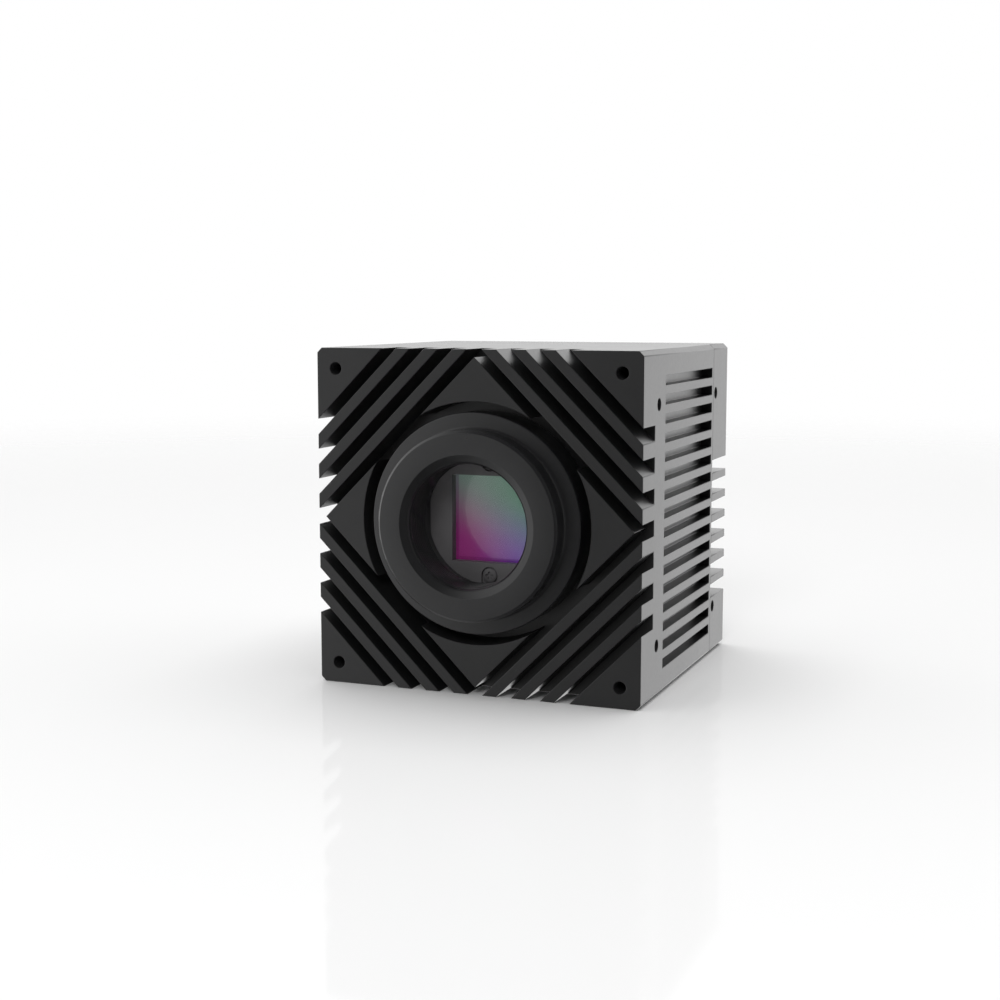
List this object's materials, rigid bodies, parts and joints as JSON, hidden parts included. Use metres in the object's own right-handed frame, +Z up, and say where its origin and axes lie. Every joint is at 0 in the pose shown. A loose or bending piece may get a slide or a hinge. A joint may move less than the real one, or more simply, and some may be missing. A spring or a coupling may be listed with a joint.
{
  "type": "cooled astronomy camera",
  "caption": "Cube-shaped cooled astronomy camera in black finned aluminium, with a threaded lens collar, a square sensor window and a rear fan.",
  "frame": {"origin": "centre of the bounding box's base, on the surface that the camera stands on", "axes": "+X right, +Y towards the back, +Z up; the lens collar faces -Y"},
  "size_m": [0.07, 0.0718, 0.07],
  "materials": {
    "housing_black": "satin black anodised, fine bead blast",
    "mount_black": "turned, satin black anodised",
    "frame_black": "matt black anodised plate",
    "window": "coated optical glass",
    "sensor": "silicon sensor with a violet to green sheen",
    "ceramic": "matt white ceramic",
    "board_green": "circuit board with green solder mask",
    "chip_black": "moulded epoxy",
    "copper": null,
    "bare_aluminium": "milled, bare",
    "pellet_grey": "semiconductor blocks",
    "seal_rubber": "black rubber",
    "pad_grey": "soft thermal pad",
    "washer_white": "nylon",
    "black_screw": "black oxide steel",
    "steel": "plated steel",
    "connector_steel": "nickel-plated shell",
    "contact_gold": "gold-plated contacts",
    "socket_plastic": "moulded black plastic",
    "light_lens": "clear light pipe",
    "fan_plastic": "moulded black plastic",
    "magnet_grey": "bonded ferrite magnet"
  },
  "bodies": {
    "camera_body": {"main_housing": "housing_black", "lens_mount_ring": "mount_black", "mount_ring_screws": "steel", "window_frame": "frame_black", "window_frame_screws": "black_screw", "window_glass": "window", "window_gasket": "seal_rubber", "sensor_package": "ceramic", "sensor_die": "sensor", "sensor_cover_glass": "window", "sensor_board": "board_green", "sensor_board_screws": "steel", "cold_finger": "copper", "temperature_probe": "chip_black", "cooler_cold_plate": "ceramic", "cooler_pellets": "pellet_grey", "cooler_hot_plate": "ceramic", "hot_side_block": "bare_aluminium", "thermal_pad": "pad_grey", "insulating_washers": "washer_white", "clamp_screws": "steel", "block_screws": "steel", "main_board": "board_green", "main_board_chips": "chip_black", "main_board_standoffs": "steel", "power_board": "board_green", "power_board_parts": "chip_black", "power_board_standoffs": "steel", "board_screws": "steel", "board_connectors": "chip_black", "interface_board": "board_green", "interface_board_screws": "steel", "usb_port_shell": "connector_steel", "usb_port_insert": "socket_plastic", "trigger_port_shell": "connector_steel", "trigger_port_insert": "socket_plastic", "power_jack_body": "socket_plastic", "power_jack_pin": "contact_gold", "status_light": "light_lens", "rear_panel": "frame_black", "rear_panel_screws": "black_screw", "rear_heat_sink": "housing_black", "rear_seal": "seal_rubber", "case_screws": "black_screw", "fan_frame": "fan_plastic", "fan_bearings": "contact_gold", "fan_stator": "copper", "fan_circuit_board": "board_green", "fan_guard": "black_screw", "fan_screws": "black_screw"},
    "fan_rotor_body": {"fan_rotor": "fan_plastic", "fan_shaft": "steel", "fan_magnet": "magnet_grey"}
  },
  "joints": [
    {"name": "fan_spin", "type": "hinge", "parent": "camera_body", "child": "fan_rotor_body", "pos_m": [0, 0.0297, 0.02865], "axis": [0, 1, 0], "continuous": true}
  ]
}
